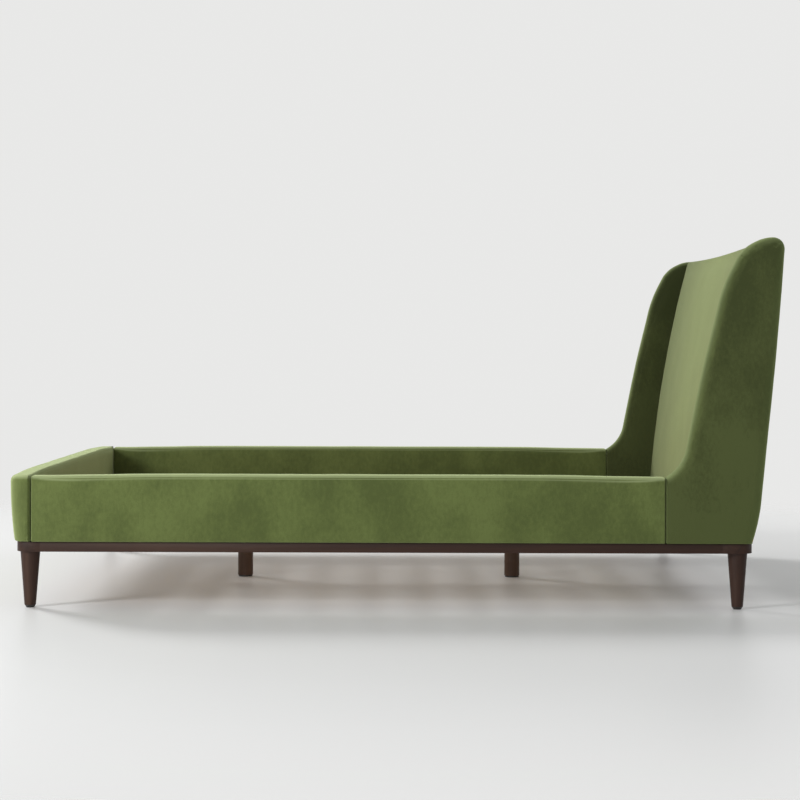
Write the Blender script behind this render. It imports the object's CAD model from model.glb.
# %% [markdown]
# This lesson dresses the CAD model of an upholstered bed frame: velvet over foam on a timber
# frame, a winged headboard, slats, and a walnut plinth on tapered legs.
# The CAD model is loaded first and never moved. Its timber and metal stay and get finishes, and
# its plain soft solids give way to covers that are made here.

import math

import bmesh
import bpy
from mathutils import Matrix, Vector, noise


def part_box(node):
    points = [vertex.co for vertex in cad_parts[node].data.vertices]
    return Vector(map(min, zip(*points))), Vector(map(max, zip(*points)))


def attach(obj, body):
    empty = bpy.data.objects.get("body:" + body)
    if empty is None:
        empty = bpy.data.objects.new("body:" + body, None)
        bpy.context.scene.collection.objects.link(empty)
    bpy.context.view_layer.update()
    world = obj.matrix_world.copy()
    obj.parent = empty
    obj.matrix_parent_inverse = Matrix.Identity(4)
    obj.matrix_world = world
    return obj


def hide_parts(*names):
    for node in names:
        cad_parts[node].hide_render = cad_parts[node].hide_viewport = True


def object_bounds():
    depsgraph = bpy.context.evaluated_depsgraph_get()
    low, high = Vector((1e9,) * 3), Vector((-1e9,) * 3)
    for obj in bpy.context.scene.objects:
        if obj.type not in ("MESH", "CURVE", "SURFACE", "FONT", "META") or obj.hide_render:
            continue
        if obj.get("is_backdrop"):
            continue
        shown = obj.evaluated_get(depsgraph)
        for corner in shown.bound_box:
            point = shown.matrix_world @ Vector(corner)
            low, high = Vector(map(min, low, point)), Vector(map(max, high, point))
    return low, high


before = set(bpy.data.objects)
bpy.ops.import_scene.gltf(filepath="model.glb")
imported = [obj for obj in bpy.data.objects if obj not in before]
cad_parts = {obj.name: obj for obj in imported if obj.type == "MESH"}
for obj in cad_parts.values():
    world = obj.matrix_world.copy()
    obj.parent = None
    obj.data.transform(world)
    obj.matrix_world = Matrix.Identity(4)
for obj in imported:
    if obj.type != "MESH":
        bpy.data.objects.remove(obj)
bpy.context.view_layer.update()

# %% [markdown]
# The camera comes early, so that every later step can be looked at from the same place.
# The bed was seen square from its side by someone standing well back, so the lens is long and the
# camera looks straight along +Y. Its height is a little above the headboard's middle, and a small
# shift moves the picture down instead of tipping the camera, so upright edges stay upright. The
# bed was seen with a roll of a fifth of a degree, so the camera has it too.

# %% Camera
CAMERA_PLACE = (0.002, -6.27, 0.760)
CAMERA_ROLL = -0.0031
camera_data = bpy.data.cameras.new("camera")
camera_data.lens = 84.4
camera_data.sensor_width = 36.0
camera_data.shift_y = -0.0639
camera = bpy.data.objects.new("camera", camera_data)
bpy.context.collection.objects.link(camera)
camera.location = CAMERA_PLACE
camera.rotation_euler = (math.radians(90), CAMERA_ROLL, 0)
bpy.context.scene.camera = camera
print("camera", tuple(camera.location))

# %% [markdown]
# Every finish is a small tree of shader nodes. Wiring each Math node by hand hides the idea, so a
# small class wraps a socket: writing a + b * 2 adds the Math nodes for it, and one method adds
# any other node from its type, its settings and what goes into its sockets.

# %% Shader sums
class Link:
    """An output socket that takes arithmetic."""

    def __init__(self, tree, socket=None):
        self.tree = tree
        self.socket = socket

    def node(self, kind, settings, inputs, output=0):
        made = self.tree.nodes.new(kind)
        for key, value in settings.items():
            if key == "stops":
                ramp = made.color_ramp
                while len(ramp.elements) < len(value):
                    ramp.elements.new(1.0)
                for element, (place, color) in zip(ramp.elements, value):
                    element.position = place
                    element.color = (*color, 1.0)
            else:
                setattr(made, key, value)
        for key, value in inputs.items():
            if isinstance(value, Link):
                self.tree.links.new(value.socket, made.inputs[key])
            else:
                made.inputs[key].default_value = value
        return Link(self.tree, made.outputs[output])

    def math(self, operation, *values):
        return self.node("ShaderNodeMath", {"operation": operation}, dict(enumerate(values)))

    def __add__(self, other):
        return self.math("ADD", self, other)

    __radd__ = __add__

    def __sub__(self, other):
        return self.math("SUBTRACT", self, other)

    def __rsub__(self, other):
        return self.math("SUBTRACT", other, self)

    def __mul__(self, other):
        return self.math("MULTIPLY", self, other)

    __rmul__ = __mul__


print("sums of sockets ready")

# %% [markdown]
# Most finishes ask for the same few nodes: a place on the piece, a noise there, a ramp of
# colours, a mix and a bump. Each gets a function with a plain name. Places are in Object
# coordinates, which stay with the piece when it moves.

# %% Nodes that most finishes use
def finish_named(name):
    """A new material with its tree emptied, and a Link to build from."""
    material = bpy.data.materials.new(name)
    material.use_nodes = True
    material.node_tree.nodes.clear()
    return material, Link(material.node_tree)


def surface(link, values, over=None, mask=None):
    """The Principled shader, with another shader over it where a mask says, and the output."""
    shader = link.node("ShaderNodeBsdfPrincipled", {}, values)
    if over:
        shader = link.node("ShaderNodeMixShader", {}, {0: mask, 1: shader, 2: over})
    out = link.tree.nodes.new("ShaderNodeOutputMaterial")
    link.tree.links.new(shader.socket, out.inputs["Surface"])


def place(link, scale=(1, 1, 1)):
    """Object coordinates, stretched."""
    here = link.node("ShaderNodeTexCoord", {}, {}, "Object")
    return link.node("ShaderNodeMapping", {}, {"Vector": here, "Scale": scale})


def coordinate(link, vector, axis):
    """One number of a vector."""
    return link.node("ShaderNodeSeparateXYZ", {}, {"Vector": vector}, axis)


def grainy(link, where, scale, detail=3.0, rough=0.5, distortion=0.0):
    """Noise from 0 to 1."""
    return link.node("ShaderNodeTexNoise", {}, {
        "Vector": where, "Scale": scale, "Detail": detail, "Roughness": rough,
        "Distortion": distortion})


def tone(link, amount, *stops):
    """A colour ramp over an amount."""
    return link.node("ShaderNodeValToRGB", {"stops": stops}, {"Fac": amount}, "Color")


def blend(link, amount, first, second):
    """Mixes two colours."""
    return link.node("ShaderNodeMix", {"data_type": "RGBA"}, {0: amount, 6: first, 7: second}, 2)


def soft_step(link, amount, start, end):
    """0 at the start, 1 at the end, smooth between."""
    return link.node("ShaderNodeMapRange", {"clamp": True, "interpolation_type": "SMOOTHSTEP"}, {
        "Value": amount, "From Min": start, "From Max": end, "To Min": 0.0, "To Max": 1.0})


def dents(link, height, distance, strength=1.0):
    """A bump from a height."""
    return link.node("ShaderNodeBump", {}, {
        "Height": height, "Distance": distance, "Strength": strength}, "Normal")


print("node helpers ready")

# %% [markdown]
# Velvet is a short upright pile. Seen straight on, it is deep in colour, and at a glancing angle
# the tips of the pile catch light and go pale. The Principled shader's sheen is made for that,
# with a pale tint of the cloth's own colour, and the Facing value of a Layer Weight node blends
# the base colour towards the tips. Hands and tension leave soft patches where the pile leans, so
# a slow noise moves the colour a little, and a very fine one roughens it.
# On the wings the pile is brushed downwards, so they look a little darker towards their tops, and
# on the headboard's face it is brushed upwards, so that one grows paler.
# Hands rub the faces that point up, which makes them paler. The faces that look into the bed
# are never touched, and stay deeper: there a place and its normal point opposite ways, so their
# dot product is negative. The headboard's face is deeper towards the wings, where no pillow rubs.

# %% Velvet
RUBBED = (0.390, 0.450, 0.235, 1.0)
MID_HEIGHT = 0.62
MOST_TIPS = 0.8
UNTOUCHED = 0.3
SHADED = 0.5


def velvet_finish(name, colors, tips, tint, sheen=0.4, spread=1.2, rubbed=0.0, inside=0.0,
                  darker_up=0.0, deeper_aside=0.0):
    """Velvet in three tones and paler tips, with a number for how strong each effect is."""
    material, link = finish_named(name)
    patches = grainy(link, place(link, (1, 1, 0.7)), 7.0, 4.0, 0.55, 0.4)
    pile = grainy(link, place(link), 420.0, 2.0, 0.6)
    flecks = grainy(link, place(link, (1, 1, 0.6)), 95.0, 3.0, 0.7)
    amount = patches * 0.55 + flecks * 0.3 + pile * 0.15
    normal = link.node("ShaderNodeNewGeometry", {}, {}, "Normal")
    if darker_up:
        height = coordinate(link, place(link), "Z")
        amount = amount - (height - MID_HEIGHT) * darker_up
    color = tone(link, amount, *zip((0.40, 0.5, 0.60), colors))
    if rubbed:
        up = soft_step(link, coordinate(link, normal, "Z"), 0.20, 1.0)
        color = blend(link, rubbed * up, color, RUBBED)
    glance = link.node("ShaderNodeLayerWeight", {}, {"Blend": 0.5}, "Facing")
    color = blend(link, link.math("POWER", glance, spread) * MOST_TIPS, color, (*tips, 1.0))
    if inside:
        outward = link.node("ShaderNodeVectorMath", {"operation": "DOT_PRODUCT"}, {
            0: place(link, (1, 1, 0)), 1: normal}, "Value")
        color = blend(link, inside * soft_step(link, outward, 0.1, -0.6), color,
                      (*(c * UNTOUCHED for c in colors[0]), 1.0))
    if deeper_aside:
        aside = link.math("ABSOLUTE", coordinate(link, place(link), "Y"))
        aside = soft_step(link, aside, 0.0, 0.85)
        color = blend(link, deeper_aside * aside, color,
                      (*(c * SHADED for c in colors[0]), 1.0))
    surface(link, {
        "Base Color": color,
        "Roughness": 0.85,
        "Specular IOR Level": 0.2,
        "Sheen Weight": sheen,
        "Sheen Roughness": 0.42,
        "Sheen Tint": (*tint, 1.0),
        "Normal": dents(link, pile * 0.6 + flecks, 0.0012, 0.5),
    })
    return material


GREENS = ((0.078, 0.101, 0.028), (0.100, 0.129, 0.036), (0.124, 0.158, 0.046))
DARK_GREENS = ((0.042, 0.053, 0.015), (0.055, 0.068, 0.020), (0.071, 0.088, 0.027))
LINING_GREENS = ((0.045, 0.058, 0.024), (0.054, 0.069, 0.029), (0.064, 0.081, 0.035))
velvet = velvet_finish("velvet", GREENS, (0.265, 0.320, 0.115), (0.78, 0.88, 0.52),
                       rubbed=0.9, inside=0.22)
wing_velvet = velvet_finish("velvet_against_the_nap", DARK_GREENS, (0.20, 0.26, 0.080),
                            (0.70, 0.80, 0.42), sheen=0.3, spread=1.0, rubbed=0.20,
                            inside=0.35, darker_up=0.38)
panel_velvet = velvet_finish("velvet_across_the_nap", GREENS, (0.160, 0.189, 0.069),
                             (0.80, 0.88, 0.50), spread=1.6, darker_up=-0.35,
                             deeper_aside=0.74)
lining = velvet_finish("lining_cloth", LINING_GREENS, (0.07, 0.09, 0.04), (0.5, 0.55, 0.4),
                       sheen=0.15, spread=1.6)
print("velvet and lining made")

# %% [markdown]
# Timber is drawn along its grain: the same noise is squeezed hard along one axis, so it turns
# into long streaks. Which axis depends on how the board lies, so the finish is a function of it.
# Walnut under lacquer is dark and satin, and without it, as on the legs under the middle, it is
# browner. The unfinished softwood inside is pale, with wide bands and a few knots.

# %% Timber
STREAK = 0.045
KNOT_STRETCH = 0.55
FIBRES_PER_RING = 14


def timber_finish(name, axis, dark, mid, light, rough, ring_scale, coat=0.0, knots=False):
    """Timber with its grain along one axis."""
    material, link = finish_named(name)
    squeeze = [1.0, 1.0, 1.0]
    squeeze[axis] = STREAK
    along = place(link, tuple(squeeze))
    wander = grainy(link, along, 6.0, 2.0, 0.5)
    bands = grainy(link, along, ring_scale, 3.0, 0.6, 1.2)
    fibres = grainy(link, along, ring_scale * FIBRES_PER_RING, 2.0, 0.7)
    amount = bands * 0.6 + wander * 0.25 + fibres * 0.15
    if knots:
        squeeze[axis] = KNOT_STRETCH
        spots = link.node("ShaderNodeTexVoronoi", {"feature": "F1"}, {
            "Vector": place(link, tuple(squeeze)), "Scale": 5.5, "Randomness": 1.0}, "Distance")
        knot = link.node("ShaderNodeMapRange", {"clamp": True}, {
            "Value": spots, "From Min": 0.03, "From Max": 0.085, "To Min": 1.0, "To Max": 0.0})
        amount = amount - knot * 0.35
    color = tone(link, amount, (0.28, dark), (0.5, mid), (0.72, light))
    surface(link, {
        "Base Color": color,
        "Roughness": rough + 0.1 * (1 - fibres),
        "Specular IOR Level": 0.22,
        "Coat Weight": coat,
        "Coat Roughness": 0.25,
        "Normal": dents(link, fibres, 0.0004, 0.35),
    })
    return material


WALNUT = ((0.019, 0.009, 0.006), (0.035, 0.016, 0.010), (0.055, 0.026, 0.015))
walnut = [timber_finish(f"walnut_{n}", i, *WALNUT, rough=0.46, coat=0.03, ring_scale=26.0)
          for i, n in enumerate("xyz")]
PLAIN_WALNUT = ((0.046, 0.026, 0.017), (0.080, 0.045, 0.029), (0.118, 0.066, 0.042))
plain_walnut = timber_finish("plain_walnut", 2, *PLAIN_WALNUT, rough=0.5, ring_scale=26.0)
PINE = ((0.42, 0.24, 0.095), (0.60, 0.40, 0.20), (0.70, 0.52, 0.30))
pine = [timber_finish(f"pine_{n}", i, *PINE, rough=0.6, ring_scale=18.0, knots=True)
        for i, n in enumerate("xyz")]
PLY = ((0.36, 0.22, 0.11), (0.52, 0.35, 0.19), (0.60, 0.43, 0.26))
ply = timber_finish("ply", 2, *PLY, rough=0.6, ring_scale=12.0)
print("timbers:", len(walnut) + len(pine) + 2)

# %% [markdown]
# The rest is small hardware. Zinc-plated steel is a metal whose plating is a little cloudy,
# powder coat has the fine orange-peel of baked paint, moulded plastic is matt, and webbing is
# woven, so its bump comes from two crossed sets of threads.

# %% Hardware and webbing
CLOUDING = 0.16


def hard_finish(name, color, rough, peel_scale, peel, metallic=0.0):
    """Metal, paint or plastic, a little cloudy and with a fine bump."""
    material, link = finish_named(name)
    cloud = grainy(link, place(link), 60.0, 3.0)
    grain = grainy(link, place(link), peel_scale, 2.0)
    dull = tuple(c * 0.8 for c in color)
    surface(link, {
        "Base Color": tone(link, cloud, (0.3, dull), (0.7, color)),
        "Metallic": metallic,
        "Roughness": rough - CLOUDING / 2 + CLOUDING * cloud,
        "Normal": dents(link, grain, peel, 0.3),
    })
    return material


def webbing_finish(name, color):
    material, link = finish_named(name)
    where = link.node("ShaderNodeTexCoord", {}, {}, "Object")
    threads = [
        link.node("ShaderNodeTexWave", {"bands_direction": way, "wave_type": "BANDS"}, {
            "Vector": where, "Scale": 120.0, "Distortion": 0.4, "Detail": 1.0}, "Fac")
        for way in "XY"]
    weave = threads[0] * threads[1]
    dark = tuple(c * 0.55 for c in color)
    surface(link, {
        "Base Color": tone(link, weave, (0.1, dark), (0.8, color)),
        "Roughness": 0.8,
        "Normal": dents(link, weave, 0.0006, 0.8),
    })
    return material


steel = hard_finish("zinc_steel", (0.56, 0.57, 0.58), rough=0.34, peel_scale=240.0,
                    peel=0.0003, metallic=1.0)
dark_steel = hard_finish("powder_coat", (0.045, 0.045, 0.05), rough=0.5, peel_scale=900.0,
                         peel=0.0005)
plastic = hard_finish("moulded_plastic", (0.022, 0.019, 0.016), rough=0.45, peel_scale=500.0,
                      peel=0.0002)
webbing = webbing_finish("webbing", (0.055, 0.06, 0.068))
print("hardware finishes made")

# %% [markdown]
# A cover begins as a plain block at the size that the CAD solid has. It needs enough slices for
# the cloth to bend, and rounded edges. The slices are cut first, across the block only, so that
# the roundings along its edges have clear strips to run in. A Bevel modifier then rounds each
# edge by its own weight, because one bevel operator has one width and the cover has several.

# %% Blocks with rounded edges
SHARP_ANGLE = math.radians(24)


def sliced_block(low, high, cuts):
    """A box between two corners, cut across each axis into slices."""
    bm = bmesh.new()
    bmesh.ops.create_cube(bm, size=1.0)
    bmesh.ops.scale(bm, vec=high - low, verts=bm.verts)
    bmesh.ops.translate(bm, vec=(low + high) / 2, verts=bm.verts)
    for axis, count in enumerate(cuts):
        way = [e for e in bm.edges
               if abs((e.verts[1].co - e.verts[0].co).normalized()[axis]) > 0.9]
        if count:
            bmesh.ops.subdivide_edges(bm, edges=way, cuts=count, use_grid_fill=True)
    return bm


def cut_across(bm, axis, places):
    """Cuts the whole mesh at planes across one axis."""
    across = Vector([float(axis == i) for i in range(3)])
    for at in places:
        bmesh.ops.bisect_plane(bm, geom=bm.verts[:] + bm.edges[:] + bm.faces[:], dist=1e-6,
                               plane_co=across * at, plane_no=across)


def in_scene(name, bm):
    """The mesh as an object in the scene."""
    mesh = bpy.data.meshes.new(name)
    bm.to_mesh(mesh)
    bm.free()
    made = bpy.data.objects.new(name, mesh)
    bpy.context.collection.objects.link(made)
    return made


def through(bm, kind, **settings):
    """The mesh after one modifier, as a new bmesh."""
    work = in_scene("work", bm)
    modifier = work.modifiers.new("work", kind)
    for key, value in settings.items():
        setattr(modifier, key, value)
    bpy.context.view_layer.update()
    shown = work.evaluated_get(bpy.context.evaluated_depsgraph_get())
    made = bmesh.new()
    made.from_mesh(shown.data)
    mesh = work.data
    bpy.data.objects.remove(work)
    bpy.data.meshes.remove(mesh)
    return made


def rounded(bm, radius_of, segments):
    """Rounds each sharp edge by the radius that radius_of gives it, in metres."""
    bm.normal_update()
    layers = bm.edges.layers.float
    weights = layers.get("bevel_weight_edge") or layers.new("bevel_weight_edge")
    radii = {}
    for e in bm.edges:
        e[weights] = 0.0
        if len(e.link_faces) == 2 and e.calc_face_angle() > SHARP_ANGLE:
            radii[e] = radius_of(e)
    widest = max(radii.values())
    for e, r in radii.items():
        e[weights] = r / widest
    return through(bm, "BEVEL", width=widest, segments=segments, limit_method="WEIGHT",
                   use_clamp_overlap=False, profile=0.5)


print("block helpers ready")

# %% [markdown]
# Foam under a tight cover pushes it out between the places where it is stapled or sewn down.
# Blender's Cloth does that: the cover is blown up from inside with gravity off. Each point may
# move only as far as there is room for it, which is nothing at the seams and where a timber lies
# against the cover. No point may move inwards, because the timber is there. The cover starts a
# little too small and swells to its size. When quick is on, it moves along its normals instead,
# so that other pieces can be worked on without waiting.

# %% Swelling a cover
NO_ROOM = 1e-5
SWELL_FRAMES = 20
LUMPS_PER_METRE = 9.0
UNEVENNESS = 0.22


def ease(x):
    """0 below 0, 1 above 1, smooth between."""
    x = min(1.0, max(0.0, x))
    return x * x * (3 - 2 * x)


def blown_up(cover, room):
    """The points of the cover when the pressure has filled it."""
    held = cover.vertex_groups.new(name="held")
    for v in cover.data.vertices:
        if room(v.co) < NO_ROOM:
            held.add([v.index], 1.0, "REPLACE")
    cloth = cover.modifiers.new("cloth", "CLOTH")
    cloth.settings.quality = 4
    cloth.settings.mass = 0.3
    cloth.settings.tension_stiffness = 20
    cloth.settings.compression_stiffness = 20
    cloth.settings.bending_stiffness = 2
    cloth.settings.use_pressure = True
    cloth.settings.uniform_pressure_force = 4
    cloth.settings.effector_weights.gravity = 0
    cloth.settings.vertex_group_mass = "held"
    cloth.point_cache.frame_start = 1
    cloth.point_cache.frame_end = SWELL_FRAMES
    for at in range(1, SWELL_FRAMES + 1):
        bpy.context.scene.frame_set(at)
    shown = cover.evaluated_get(bpy.context.evaluated_depsgraph_get())
    points = [v.co.copy() for v in shown.data.vertices]
    cover.modifiers.remove(cloth)
    cover.vertex_groups.remove(held)
    bpy.context.scene.frame_set(1)
    return points


def swell(cover, room):
    """Lets the cover swell within its room, and adds the slight unevenness of real foam."""
    mesh = cover.data
    points = blown_up(cover, room)
    longest = 0.0
    for v, to in zip(mesh.vertices, points):
        move = to - v.co
        move -= v.normal * min(0.0, move.dot(v.normal))
        limit = room(v.co)
        if limit > NO_ROOM and move.length > 1e-9:
            move *= limit * math.tanh(move.length / limit) / move.length
            move += v.normal * noise.noise(v.co * LUMPS_PER_METRE) * limit * UNEVENNESS
            longest = max(longest, move.length)
            v.co += move
    mesh.update()
    print(cover.name, len(mesh.vertices), "points, furthest move", round(longest * 1000, 2), "mm")


print("covers can swell by", SWELL_FRAMES, "frames of pressure")

# %% [markdown]
# A finished cover gets its material and a last subdivision. It rides on the frame, like all but
# the levelling feet, and it takes the place of its CAD nodes, which are hidden.
# The bed is the same on both sides, so the right rail and wing are the left ones mirrored. That
# turns a mesh inside out, which is why every cover has its normals worked out anew.

# %% Finished covers
def cover_object(name, bm):
    """The mesh as a smooth object whose faces point outwards."""
    bmesh.ops.recalc_face_normals(bm, faces=bm.faces)
    for f in bm.faces:
        f.smooth = True
    return in_scene(name, bm)


def dressed(cover, finish, nodes, levels=1):
    """Gives a finished cover its finish, and stands it in for its CAD nodes."""
    cover.data.materials.append(finish)
    if levels:
        smooth = cover.modifiers.new("smooth", "SUBSURF")
        smooth.levels = smooth.render_levels = levels
    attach(cover, "frame")
    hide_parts(*nodes)
    return cover


def mirrored(cover, name):
    """The same cover for the other side of the bed."""
    bm = bmesh.new()
    bm.from_mesh(cover.data)
    bmesh.ops.scale(bm, vec=(1, -1, 1), verts=bm.verts)
    return cover_object(name, bm)


print("covers can be dressed and mirrored")

# %% [markdown]
# All the covers stand on the plinth at the same height, and their velvet is stapled under the
# board. Below the slats the ledgers and brackets are screwed against the inner faces, so there a
# cover stays flat. Two small functions say how much of its room a point has for these reasons.
# A cover starts about a millimetre too small on the sides that swell, and lies close elsewhere.

# %% Hems and inner faces
BASE_Z = 0.194
RAIL_TOP = 0.389
FLAT_BELOW = 0.262
CLOSE, SLACK, HEM_SLACK = 0.0003, 0.0012, 0.0015
HEM_Z = BASE_Z + HEM_SLACK
END_HELD = 0.001
NEAR, SKIN, WITHIN = 0.003, 0.004, 0.01
HEM_RUN, FLAT_RUN, END_RUN = 0.03, 0.04, 0.05


def hem(p):
    """No room at the underside, full room a little above it."""
    return ease((p.z - BASE_Z - NEAR) / HEM_RUN)


def above_ledger(p):
    """No room where ledgers and brackets lie, full room a little above them."""
    return ease((p.z - FLAT_BELOW) / FLAT_RUN)


def inner_face(p, inner):
    """The same, but only for a point on the inner face."""
    return above_ledger(p) if p.y < inner + SKIN else 1.0


print("covers stand at", BASE_Z, "m, flat inside below", FLAT_BELOW, "m")

# %% [markdown]
# A side rail is a board with foam on its outer face and top. Its long top edges are soft, with a
# radius of 16 mm, and its ends and hem are tight. Its top is crowned: it rises from both ends
# towards the middle, where the foam stands proud of the timber.

# %% Side rails
END_GAP = 0.0023
RAIL_SWELL = 0.0034
RAIL_RADIUS, EDGE_RADIUS, HEM_RADIUS = 0.016, 0.005, 0.0022
CROWN, CROWN_RUN = 0.0048, 0.40
SHOULDER_Z, SHOULDER_RUN = 0.30, 0.08
rail_low, rail_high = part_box("side_rail_cover_left")


def rail_room(p):
    """How far a point of the rail's cover may move."""
    ends = ease((min(p.x - rail_low.x, rail_high.x - p.x) - END_HELD) / END_RUN)
    return RAIL_SWELL * ends * hem(p) * inner_face(p, rail_low.y)


def rail_radius(edge):
    a, b = edge.verts
    outside = min(a.co.y, b.co.y) > rail_high.y - WITHIN
    on_top = min(a.co.z, b.co.z) > RAIL_TOP - NEAR
    if on_top and abs(a.co.x - b.co.x) > WITHIN:
        return RAIL_RADIUS
    return EDGE_RADIUS if outside or on_top else HEM_RADIUS


def shoulder(z):
    """Nothing on the lower part of a board, 1 at its top."""
    return ease((z - SHOULDER_Z) / SHOULDER_RUN)


def crowned(bm):
    """Raises the top between its ends."""
    for v in bm.verts:
        ends = min(v.co.x - rail_low.x, rail_high.x - v.co.x)
        v.co.z += CROWN * shoulder(v.co.z) * ease(ends / CROWN_RUN)


bm = sliced_block(rail_low + Vector((END_GAP, CLOSE, HEM_SLACK)),
                  rail_high - Vector((END_GAP, SLACK, SLACK)), (92, 1, 5))
bm = rounded(bm, rail_radius, 4)
crowned(bm)
bm = through(bm, "SUBSURF", subdivision_type="SIMPLE", levels=1)
rail_left = cover_object("side_rail_left", bm)
swell(rail_left, rail_room)
rail_right = mirrored(rail_left, "side_rail_right")
for side, rail in (("left", rail_left), ("right", rail_right)):
    dressed(rail, velvet, [f"side_rail_cover_{side}", f"side_rail_pad_{side}"])

# %% [markdown]
# The footboard is the same kind of board, but its two outer corners are rounded in plan, and its
# outer face leans in towards its foot. The corners are bevelled first, because they are wide,
# and then the slices are cut between them. Where its ends meet the side rails, the edge is
# rounded more, so that a dark seam shows between them.

# %% Footboard
foot_low, foot_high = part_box("footboard_cover")
CORNER = 0.052
DRAW_IN = 0.013
DRAW_HEIGHT = 0.166
FULLNESS = 0.0095
FOOT_SWELL = 0.0030
FOOT_RADIUS, SEAM_RADIUS, FOOT_EDGE = 0.018, 0.010, 0.004
FOOT_LIFT, FOOT_RISE, RISE_RUN = 0.0015, 0.006, 0.32
FOOT_INNER = 0.006


def foot_room(p):
    """How far a point of the footboard's cover may move."""
    room = FOOT_SWELL * hem(p)
    if p.x > foot_high.x - FOOT_INNER:
        room *= ease((foot_high.y - SKIN - abs(p.y)) / END_RUN) * above_ledger(p)
    if abs(p.y) > rail_low.y:
        room *= ease((foot_high.x - p.x) / HEM_RUN)
    return room


def foot_radius(edge):
    if min(v.co.z for v in edge.verts) > RAIL_TOP - NEAR:
        return FOOT_RADIUS
    at_seam = all(v.co.x > foot_high.x - 0.02 and abs(v.co.y) > 0.81 for v in edge.verts)
    return SEAM_RADIUS if at_seam else FOOT_EDGE


bm = sliced_block(foot_low + Vector((SLACK, SLACK, HEM_SLACK)),
                  foot_high - Vector((CLOSE, SLACK, SLACK)), (0, 0, 6))
corners = [e for e in bm.edges
           if all(v.co.x < foot_low.x + WITHIN for v in e.verts)
           and abs(e.verts[0].co.y - e.verts[1].co.y) < 1e-6]
bmesh.ops.bevel(bm, geom=corners, offset=CORNER, offset_type="OFFSET", affect="EDGES",
                segments=8, profile=0.5, material=-1)
cut_across(bm, 1, [-0.75 + 0.025 * i for i in range(61)])
for v in bm.verts:
    low = max(0.0, 1 - (v.co.z - BASE_Z) / DRAW_HEIGHT)
    outward = (foot_high.x - v.co.x) / (foot_high.x - foot_low.x)
    v.co.x += (DRAW_IN * low * low - FULLNESS) * outward
    middle = ease((foot_high.y - abs(v.co.y)) / RISE_RUN)
    v.co.z += (FOOT_LIFT + FOOT_RISE * middle) * shoulder(v.co.z)
bm = rounded(bm, foot_radius, 4)
bm = through(bm, "SUBSURF", subdivision_type="SIMPLE", levels=1)
footboard = cover_object("footboard", bm)
swell(footboard, foot_room)
dressed(footboard, velvet, ["footboard_cover", "footboard_pad"])

# %% [markdown]
# A wing is a flat shape with a flowing outline: straight up the front seam, a sweep at the waist,
# a long lean, a round crest, and down the leaning back. Its outline is a handful of corners, each
# with the radius of its curve, and a vertex bevel turns the corner into that curve.

# %% Outline of a wing
wing_low, wing_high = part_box("wing_cover_left")
FRONT_X, WAIST_Z = 0.7783, 0.3850
WING_CORNERS = [
    (1.0325, HEM_Z, 0.0), (1.0540, 0.268, 0.50), (1.0710, 0.440, 8.0), (1.1052, 0.788, 5.0),
    (1.1275, 1.0900, 0.035), (1.0672, 1.0900, 0.090), (1.0026, 1.0575, 0.098),
    (0.9475, 0.9515, 0.36), (0.8850, 0.690, 3.0), (0.8320, 0.4230, 0.11),
    (FRONT_X, WAIST_Z, 0.0), (FRONT_X, HEM_Z, 0.0)]


def wing_outline():
    """The inner face of a wing, with every corner rounded by its radius."""
    bm = bmesh.new()
    verts = [bm.verts.new((x, wing_low.y + CLOSE, z)) for x, z, r in WING_CORNERS]
    bm.faces.new(verts)
    sizes = [r for x, z, r in WING_CORNERS]
    points = [v.co.copy() for v in verts]
    for i, r in enumerate(sizes):
        if r:
            to_last = (points[i - 1] - points[i]).normalized()
            to_next = (points[(i + 1) % len(points)] - points[i]).normalized()
            half = to_last.angle(to_next) / 2
            bmesh.ops.bevel(bm, geom=[verts[i]], offset=r / math.tan(half),
                            offset_type="OFFSET", affect="VERTICES",
                            segments=max(3, int(math.degrees(math.pi - 2 * half) / 6)),
                            profile=0.5, material=-1)
    return bm


print("wing outline has", len(WING_CORNERS), "corners")

# %% [markdown]
# The face is thickened, and its rim is rounded, more outside than inside, where the wing lies
# against the headboard panel. A narrow strip of faces inside the rim keeps the shading of that
# rounding from running out over the flat face. There is no room for the cover to swell where the
# panel's timber stands behind it, which is why the panel's face is worked out here already.

# %% Wings
FACE_X, FACE_LEAN = 0.929, 0.05591
FACE_SWEEP, SWEEP_HEIGHT = 0.090, 0.872
WING_SWELL = 0.0034
OUTER_RIM, INNER_RIM, TIGHT_RIM = 0.025, 0.018, 0.003
RIM_STRIP = 0.004
SLICE = 0.02


def panel_face(z):
    """How far forward the headboard panel's face is at a height."""
    up = z - BASE_Z
    return FACE_X + FACE_LEAN * up + FACE_SWEEP * (up / SWEEP_HEIGHT) ** 2


def wing_radius(edge):
    at_hem = all(v.co.z < HEM_Z + CLOSE for v in edge.verts)
    at_front = all(v.co.x < FRONT_X + CLOSE and v.co.z < WAIST_Z + CLOSE for v in edge.verts)
    across = abs(edge.verts[0].co.y - edge.verts[1].co.y) > WITHIN
    if at_hem or at_front or across:
        return TIGHT_RIM
    return OUTER_RIM if edge.verts[0].co.y > wing_low.y + 0.03 else INNER_RIM


def wing_room(p):
    """How far a point of the wing's cover may move."""
    room = WING_SWELL * hem(p) * inner_face(p, wing_low.y)
    if p.z < WAIST_Z:
        room *= ease((p.x - wing_low.x - END_HELD) / FLAT_RUN)
    if p.y < wing_low.y + SKIN:
        room *= ease((panel_face(p.z) - SKIN - p.x) / FLAT_RUN)
    return room


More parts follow.
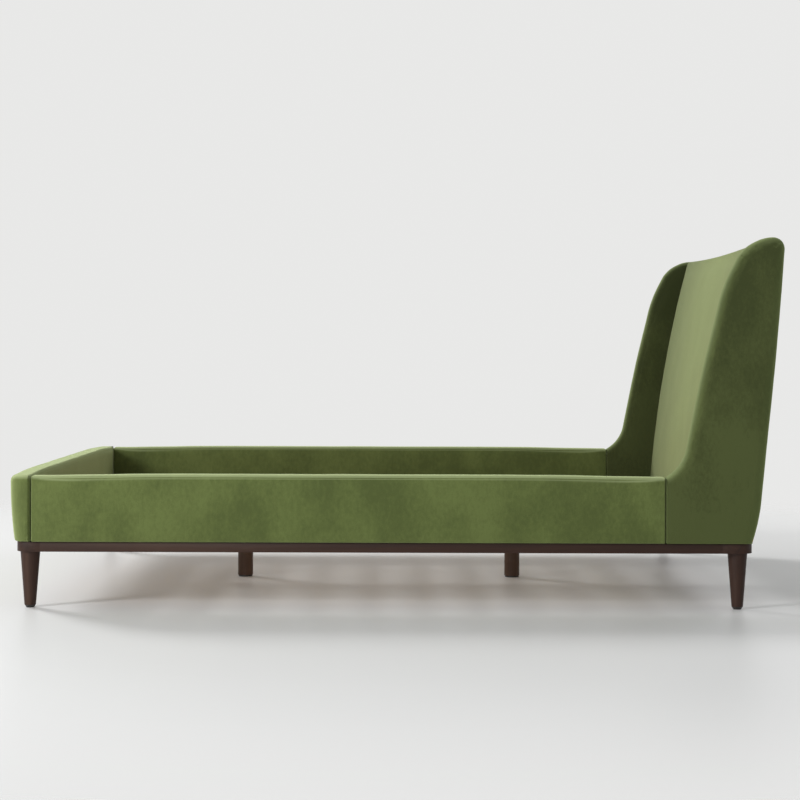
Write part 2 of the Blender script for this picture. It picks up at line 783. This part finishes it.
bm = wing_outline()
rim = bmesh.ops.extrude_face_region(bm, geom=bm.faces[:])
bmesh.ops.translate(bm, vec=(0, wing_high.y - wing_low.y - CLOSE - SLACK, 0),
                    verts=[g for g in rim["geom"] if isinstance(g, bmesh.types.BMVert)])
bmesh.ops.recalc_face_normals(bm, faces=bm.faces)
bm = rounded(bm, wing_radius, 4)
bm.normal_update()
faces = [f for f in bm.faces if abs(f.normal.y) > 0.99 and f.calc_area() > 0.05]
bmesh.ops.inset_region(bm, faces=faces, thickness=RIM_STRIP, use_even_offset=False)
print("wing faces", len(faces))
cut_across(bm, 0, [0.795 + SLICE * i for i in range(17)])
cut_across(bm, 2, [0.215 + SLICE * i for i in range(44)])
cut_across(bm, 1, [wing_low.y + step for step in (0.0185, 0.027, 0.0355)])
bmesh.ops.remove_doubles(bm, verts=bm.verts, dist=0.0005)
wing_left = cover_object("wing_left", bm)
swell(wing_left, wing_room)
wing_right = mirrored(wing_left, "wing_right")
for side, wing in (("left", wing_left), ("right", wing_right)):
    dressed(wing, wing_velvet, [f"wing_cover_{side}", f"wing_pad_{side}"])

# %% [markdown]
# The headboard panel leans back between the wings. Its face sweeps back to the top, and its top
# edge dips a little between them. A block cut into slices is bent to that form by moving its
# points: one share runs from face to back, one across, and one from foot to top. Above the posts
# the back stands upright. The top is rounded by 10 mm in front and 29 mm behind, so the velvet
# rolls over to the back. Towards each wing the face rolls in by 8 mm. The rims of the two ends
# follow all those curves, so they are rounded in a second pass, and they stay tight, because
# there the velvet wraps the posts closely.

# %% Headboard panel
HALF_PANEL = 0.7578
PANEL_TOP = 1.0775
RISE = 0.0125
ROUNDED_FROM = 1.07
BACK_X, BACK_Z = 1.12984, 1.04849
BACK_LEAN = 0.09277
HEEL_Z = 0.268
HEEL_HEIGHT = 0.074
FOOT_X = 1.0371
TOP_SWELL, FACE_SWELL = 0.0015, 0.0055
SIDE_HELD, BACK_HELD = 0.002, 0.012
SIDE_RUN, LOW_RUN, BACK_RUN, TOP_RUN = 0.07, 0.12, 0.02, 0.06
BACK_RADIUS, FRONT_RADIUS, RIM_RADIUS = 0.029, 0.010, 0.001


def panel_top(y):
    """The height of the panel's top edge, lowest in the middle."""
    return PANEL_TOP + RISE * (y / HALF_PANEL) ** 2


def leaning_back(z):
    """The back's line: it leans, and below the heel it turns in."""
    line = BACK_X - BACK_LEAN * (BACK_Z - z)
    heel = BACK_X - BACK_LEAN * (BACK_Z - HEEL_Z)
    return line if z > HEEL_Z else FOOT_X + (heel - FOOT_X) * (z - BASE_Z) / HEEL_HEIGHT


def panel_room(p):
    """How far a point of the headboard's cover may move."""
    sides = ease((HALF_PANEL - SIDE_HELD - abs(p.y)) / SIDE_RUN)
    low = ease((p.z - FLAT_BELOW) / LOW_RUN)
    behind = ease((leaning_back(p.z) - BACK_HELD - p.x) / BACK_RUN)
    below_top = ease((ROUNDED_FROM - p.z) / TOP_RUN)
    return (TOP_SWELL + FACE_SWELL * below_top) * sides * low * behind


UPRIGHT_FROM = 1.030
FACE_INSET, BACK_INSET = 0.003, 0.0021
ROLL_IN, ROLL_FROM, ROLL_RUN = 0.008, 0.728, 0.030
bm = sliced_block(Vector((0, -1, 0)), Vector((1, 1, 1)), (0, 13, 10))
cut_across(bm, 2, (0.083, 0.932, 0.945, 0.957))
near_wings = [y / HALF_PANEL for y in (0.668, 0.690, 0.710, 0.728, 0.738, 0.747, 0.7535)]
cut_across(bm, 1, near_wings + [-y for y in near_wings])
for v in bm.verts:
    back, across, up = v.co
    y = across * (HALF_PANEL + 0.0002)
    z = BASE_Z + CLOSE + up * (panel_top(y) - SLACK - CLOSE - BASE_Z)
    face = panel_face(z) + FACE_INSET + ROLL_IN * max(0.0, (abs(y) - ROLL_FROM) / ROLL_RUN) ** 2
    behind = leaning_back(min(z, UPRIGHT_FROM)) - BACK_INSET
    v.co = (face + (behind - face) * back, y, z)


def top_radius(edge):
    a, b = edge.verts
    if min(a.co.z, b.co.z) > ROUNDED_FROM and abs(a.co.y - b.co.y) > 0.004:
        return BACK_RADIUS if min(a.co.x, b.co.x) > 1.11 else FRONT_RADIUS
    return 0.0


bm = rounded(bm, top_radius, 5)
bm = rounded(bm, lambda edge: RIM_RADIUS, 2)
bm = through(bm, "SUBSURF", subdivision_type="SIMPLE", levels=2)
headboard = cover_object("headboard", bm)
swell(headboard, panel_room)
dressed(headboard, panel_velvet, ["headboard_cover", "headboard_pad"])

# %% [markdown]
# The back of the panel is closed with a plain lining cloth, pulled tight and tacked. It is one
# flat sheet, so it starts as a grid, follows the leaning line, and gets its thickness from
# Solidify. Its cut size is its width and the length of its line, measured along the lean.

# %% Lining on the back
LINING_TOP = 1.022
LINING_HALF = HALF_PANEL + 0.0001
LINING_FOOT = BASE_Z + 0.004
LINING_THICKNESS = 0.0011
RIPPLE, RIPPLES = 0.0004, 46


def thickened(sheet, thickness):
    """Gives a sheet its thickness, half of it to each side."""
    wall = sheet.modifiers.new("thickness", "SOLIDIFY")
    wall.thickness = thickness
    wall.offset = 0.0


bm = bmesh.new()
bmesh.ops.create_grid(bm, x_segments=60, y_segments=36, size=0.5)
for v in bm.verts:
    across, up = v.co.x * 2, v.co.y + 0.5
    z = LINING_FOOT + up * (LINING_TOP - LINING_FOOT)
    y = across * LINING_HALF
    edge = min(LINING_HALF - abs(y), z - BASE_Z, LINING_TOP - z)
    ripple = RIPPLE * math.sin(y * RIPPLES) * ease(edge / 0.02) * (1 - ease(edge / 0.14))
    v.co = (leaning_back(z) - 0.0012 + ripple, y, z)
lining_sheet = cover_object("headboard_lining", bm)
thickened(lining_sheet, LINING_THICKNESS)
dressed(lining_sheet, lining, ["headboard_back_cover"], levels=0)
heights = [LINING_FOOT, HEEL_Z, LINING_TOP]
lining_length = sum(math.dist((leaning_back(a), a), (leaning_back(b), b))
                    for a, b in zip(heights, heights[1:]))
print("lining", len(lining_sheet.data.polygons), "faces,", round(2 * LINING_HALF, 3), "by",
      round(lining_length, 3), "m")

# %% [markdown]
# Boards and fittings straight from CAD have razor edges, and real ones are eased with sandpaper
# or rolled in the press. A copy of each CAD mesh is merged, its flat faces are joined again, and
# its sharp edges get a small bevel that catches the light.

# %% Eased timbers and fittings
BOARD_EDGE, THIN_EDGE = 0.003, 0.0015
SLAT_NAMES = [f"slat_{i:02d}" for i in range(1, 14)]


def eased(node, radius, finish, segments=2):
    """Puts a copy with eased edges in a CAD node's place."""
    bm = bmesh.new()
    bm.from_mesh(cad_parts[node].data)
    bmesh.ops.remove_doubles(bm, verts=bm.verts, dist=1e-5)
    bmesh.ops.dissolve_limit(bm, angle_limit=math.radians(0.6), verts=bm.verts, edges=bm.edges)
    bm.normal_update()
    sharp = [e for e in bm.edges
             if len(e.link_faces) == 2 and e.calc_face_angle() > math.radians(40)]
    bmesh.ops.bevel(bm, geom=sharp, offset=radius, offset_type="OFFSET", affect="EDGES",
                    segments=segments, profile=0.5, material=-1, clamp_overlap=True)
    bmesh.ops.triangulate(bm, faces=[f for f in bm.faces if len(f.verts) > 4])
    for f in bm.faces:
        f.smooth = True
    made = in_scene(node + "_eased", bm)
    made.data.set_sharp_from_angle(angle=math.radians(35))
    dressed(made, finish, [node], levels=0)


for name in SLAT_NAMES:
    eased(name, BOARD_EDGE, pine[1], segments=3)
for side in ("left", "right"):
    eased(f"slat_ledger_{side}", THIN_EDGE, pine[0])
    eased(f"plinth_side_{side}", THIN_EDGE, walnut[0])
eased("centre_beam", BOARD_EDGE, pine[0])
eased("plinth_foot", THIN_EDGE, walnut[1])
eased("plinth_head", THIN_EDGE, walnut[1])
print("eased boards made")

# %% [markdown]
# Two straps of webbing keep the slats at their spacing. They hang a little between slats, which
# a straight box doesn't show, so each is a strip of faces that dips between its staples. Only
# the back of a staple shows, a small bar across the strap, and each slat has two on each strap.

# %% Webbing and staples
STRAP_WIDTH, STRAP_THICKNESS = 0.0246, 0.0014
STRAP_END = 0.004
STRAP_DIP = 0.0022
STAPLE = (0.0012, 0.011, 0.0006)
STAPLE_ASIDE = 0.012
slats = [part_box(name) for name in SLAT_NAMES]
middles = [(low.x + high.x) / 2 for low, high in slats]
under = slats[0][0].z
strap_low, strap_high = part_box("slat_straps")
strap_middle = strap_high.y - 0.0125


def strap_dip(x):
    """How far the strap hangs below the slats at a place."""
    nearest = min(abs(x - m) for m in middles)
    return STRAP_DIP * ease((nearest - 0.030) / 0.045)


bm = bmesh.new()
for side in (-1, 1):
    made = bmesh.ops.create_grid(bm, x_segments=190, y_segments=2, size=0.5)["verts"]
    for v in made:
        length = strap_high.x - strap_low.x - 2 * STRAP_END
        x = strap_low.x + STRAP_END + (v.co.x + 0.5) * length
        y = side * strap_middle + v.co.y * STRAP_WIDTH
        v.co = (x, y, under - 0.0009 - strap_dip(x))
straps = cover_object("slat_webbing", bm)
thickened(straps, STRAP_THICKNESS)
dressed(straps, webbing, ["slat_straps"], levels=0)

bm = bmesh.new()
for m in middles:
    for side in (-1, 1):
        for shift in (-STAPLE_ASIDE, STAPLE_ASIDE):
            made = bmesh.ops.create_cube(bm, size=1.0)["verts"]
            bmesh.ops.scale(bm, vec=STAPLE, verts=made)
            bmesh.ops.translate(bm, vec=(m + shift, side * strap_middle, under - 0.0019),
                                verts=made)
bmesh.ops.bevel(bm, geom=bm.edges[:], offset=0.0002, offset_type="OFFSET", affect="EDGES",
                segments=1, profile=0.5, material=-1)
staples = cover_object("webbing_staples", bm)
staples.data.materials.append(steel)
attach(staples, "frame")
print("straps and", 4 * len(middles), "staples made")

# %% [markdown]
# What is left of the CAD model keeps its own mesh and only gets a finish. Grain runs along a
# post, across the bed in the headboard's rails, and up each leg.

# %% Finishes on the CAD nodes
FINISHES = {
    "headboard_post_left": pine[2], "headboard_post_right": pine[2],
    "headboard_top_rail": pine[1], "headboard_bottom_rail": pine[1],
    "headboard_stile": pine[2], "headboard_ply": ply,
    "wing_core_left": pine[2], "wing_core_right": pine[2],
    "footboard_core": pine[1], "side_rail_core_left": pine[0], "side_rail_core_right": pine[0],
    "beam_brackets": dark_steel, "corner_brackets": dark_steel,
    "leg_glides": plastic, "leg_bolts": steel, "leg_nuts": steel,
    "levelling_foot_foot_end": plastic, "levelling_foot_head_end": plastic,
    "frame_bolts": steel, "wood_screws": steel,
}
for corner in ("foot_left", "foot_right", "head_left", "head_right"):
    FINISHES[f"corner_leg_{corner}"] = walnut[2]
for end in ("foot", "head"):
    FINISHES[f"centre_leg_{end}_end"] = plain_walnut
for name, finish in FINISHES.items():
    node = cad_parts[name]
    node.data.materials.clear()
    node.data.materials.append(finish)
bare = [n for n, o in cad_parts.items() if not o.hide_render and n not in FINISHES]
print(len(FINISHES), "nodes finished, left bare:", bare)

# %% [markdown]
# The stage is a round pale floor. A few metres out it fades into the plain pale background, so
# that no line crosses the picture behind the bed, and the bed can be walked round. Seen from
# below, the floor lets the view through to the underside. It isn't part of the bed, so it is
# marked as stage.

# %% Stage
PALE = (0.81, 0.81, 0.802)
FLOOR = (0.785, 0.785, 0.778)
FADE_START, FADE_END = 2.0, 3.8
STAGE_RADIUS = 14


def stage_finish(name, color, rough):
    material, link = finish_named(name)
    dust = grainy(link, place(link), 0.8, 2.0)
    here = link.node("ShaderNodeTexCoord", {}, {}, "Object")
    out = link.node("ShaderNodeVectorMath", {"operation": "LENGTH"}, {"Vector": here}, "Value")
    far = soft_step(link, out, FADE_START, FADE_END)
    below = link.node("ShaderNodeNewGeometry", {}, {}, "Backfacing")
    seen = link.node("ShaderNodeLightPath", {}, {}, "Is Camera Ray")
    clear = link.node("ShaderNodeBsdfTransparent", {}, {})
    surface(link, {
        "Base Color": tone(link, dust, (0.3, tuple(c * 0.985 for c in color)), (0.7, color)),
        "Roughness": rough,
        "Specular IOR Level": 0.35,
    }, clear, seen * link.math("MAXIMUM", far, below))
    return material


bm = bmesh.new()
bmesh.ops.create_circle(bm, cap_ends=True, radius=STAGE_RADIUS, segments=96)
stage = cover_object("stage", bm)
if stage.data.polygons[0].normal.z < 0:
    stage.data.flip_normals()
stage.data.materials.append(stage_finish("pale_floor", FLOOR, 0.42))
stage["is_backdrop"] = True
print("stage", len(stage.data.polygons), "face")

# %% [markdown]
# The light is a plain studio: an even sky for the shadows' sake, one big soft lamp from high up
# beyond the foot end and behind the bed, a weaker one from the front, a low one that reaches the
# legs under the bed, and a faint one that draws a light line along the headboard's back edge. A
# surface that faces the lamps renders about as bright as its colour is written.

# %% Light
SKY = (0.456, 0.462, 0.470)


def lamp(name, at, towards, size, watts):
    """A round soft lamp that faces a place."""
    data = bpy.data.lights.new(name, "AREA")
    data.shape = "DISK"
    data.size = size
    data.energy = watts
    made = bpy.data.objects.new(name, data)
    bpy.context.collection.objects.link(made)
    made.location = at
    made.rotation_euler = (Vector(towards) - Vector(at)).to_track_quat("-Z", "Y").to_euler()
    return made


lamp("key", (-10.3, 9.4, 7.6), (0.3, 0, 0.4), size=4.5, watts=1700)
lamp("front", (-5.6, -4.6, 2.8), (-0.3, 0, 0.3), size=1.6, watts=260)
lamp("low", (-2.2, -6.0, 0.7), (-0.2, 0, 0.1), size=1.6, watts=45)
lamp("rim", (4.2, 3.6, 2.6), (0.9, 0, 0.6), size=2.2, watts=30)
world = bpy.data.worlds.new("world")
bpy.context.scene.world = world
world.use_nodes = True
world.node_tree.nodes.clear()
sky = Link(world.node_tree)
rays = [sky.node("ShaderNodeLightPath", {}, {}, f"Is {kind} Ray")
        for kind in ("Camera", "Glossy", "Transmission")]
backdrop = sky.math("MINIMUM", rays[0] + rays[1] + rays[2], 1.0)
shade = blend(sky, backdrop, (*SKY, 1.0), (*PALE, 1.0))
air = sky.node("ShaderNodeBackground", {}, {"Color": shade, "Strength": 1.0})
world_out = world.node_tree.nodes.new("ShaderNodeOutputWorld")
world.node_tree.links.new(air.socket, world_out.inputs["Surface"])
bpy.context.scene.view_settings.view_transform = "Standard"
print("lit")

# %% Check and finish
low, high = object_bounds()
print("visual box", [round(v, 4) for v in low], [round(v, 4) for v in high])
